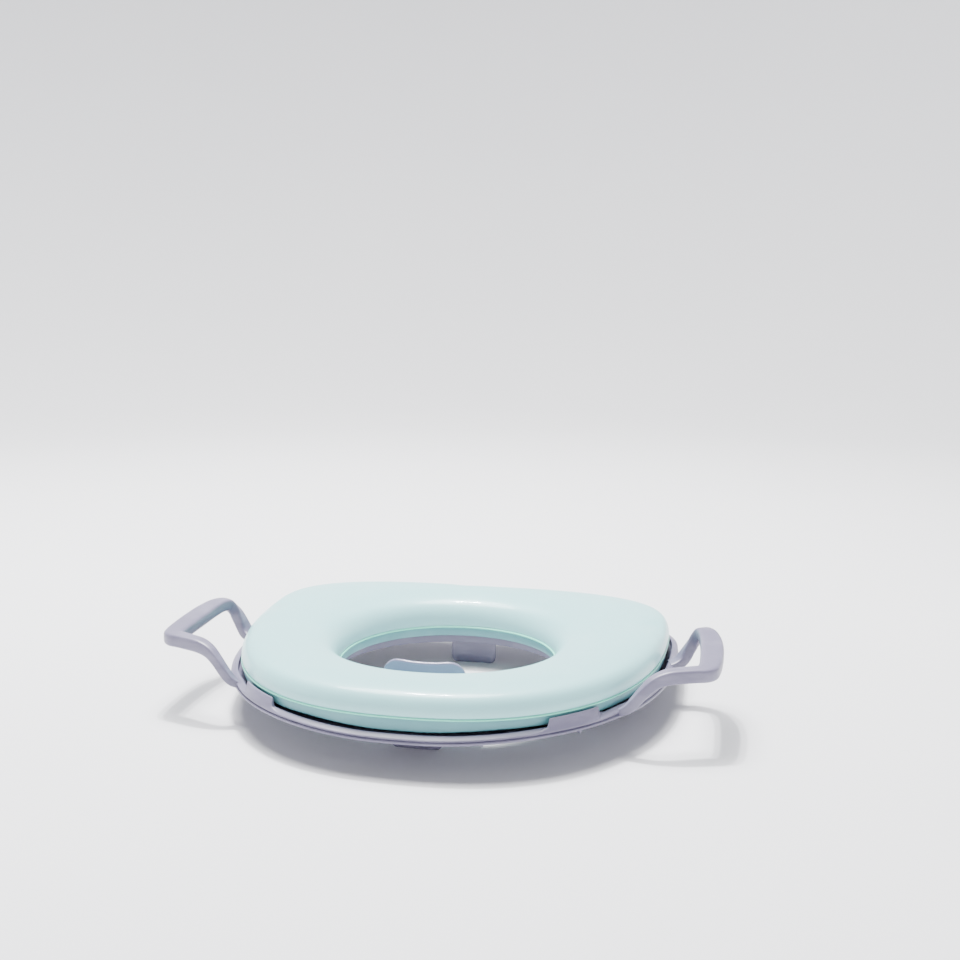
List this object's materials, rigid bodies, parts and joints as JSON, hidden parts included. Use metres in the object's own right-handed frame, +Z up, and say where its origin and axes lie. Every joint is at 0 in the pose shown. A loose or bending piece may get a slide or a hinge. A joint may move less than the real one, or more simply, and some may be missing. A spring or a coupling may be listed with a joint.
{
  "type": "toddler toilet training seat",
  "caption": "Padded oval toilet training seat that lifts off a plastic base with side handles, splash guard and locating lugs.",
  "frame": {"origin": "centre of the overall box in plan, at the lug tips", "axes": "+Z up, -Y towards the front where the child's knees are, +X to the seat's right seen from the front"},
  "size_m": [0.3424, 0.2606, 0.0523],
  "materials": {
    "base_frame": "satin",
    "handle": "satin",
    "splash_guard": "satin",
    "lug": "satin",
    "pad": "matte",
    "cushion_skin": "soft satin",
    "cushion_backing": "satin",
    "cushion_foam": "open-cell foam",
    "seam": "satin"
  },
  "bodies": {
    "base": {"base_frame": "base_frame", "handle_right": "handle", "handle_left": "handle", "lug_front": "lug", "lug_right": "lug", "lug_rear": "lug", "lug_left": "lug", "pad_1": "pad", "pad_2": "pad", "pad_3": "pad", "pad_4": "pad", "pad_5": "pad", "pad_6": "pad"},
    "ring": {"cushion_backing": "cushion_backing", "cushion_skin": "cushion_skin", "cushion_foam": "cushion_foam", "seam_outer": "seam", "seam_inner": "seam"},
    "guard": {"splash_guard": "splash_guard"}
  },
  "joints": [
    {"name": "ring_lift", "type": "slide", "parent": "base", "child": "ring", "axis": [0, 0, 1], "range_m": [0, 0.08]},
    {"name": "guard_lift", "type": "slide", "parent": "base", "child": "guard", "axis": [0, 0, 1], "range_m": [0, 0.05]}
  ]
}
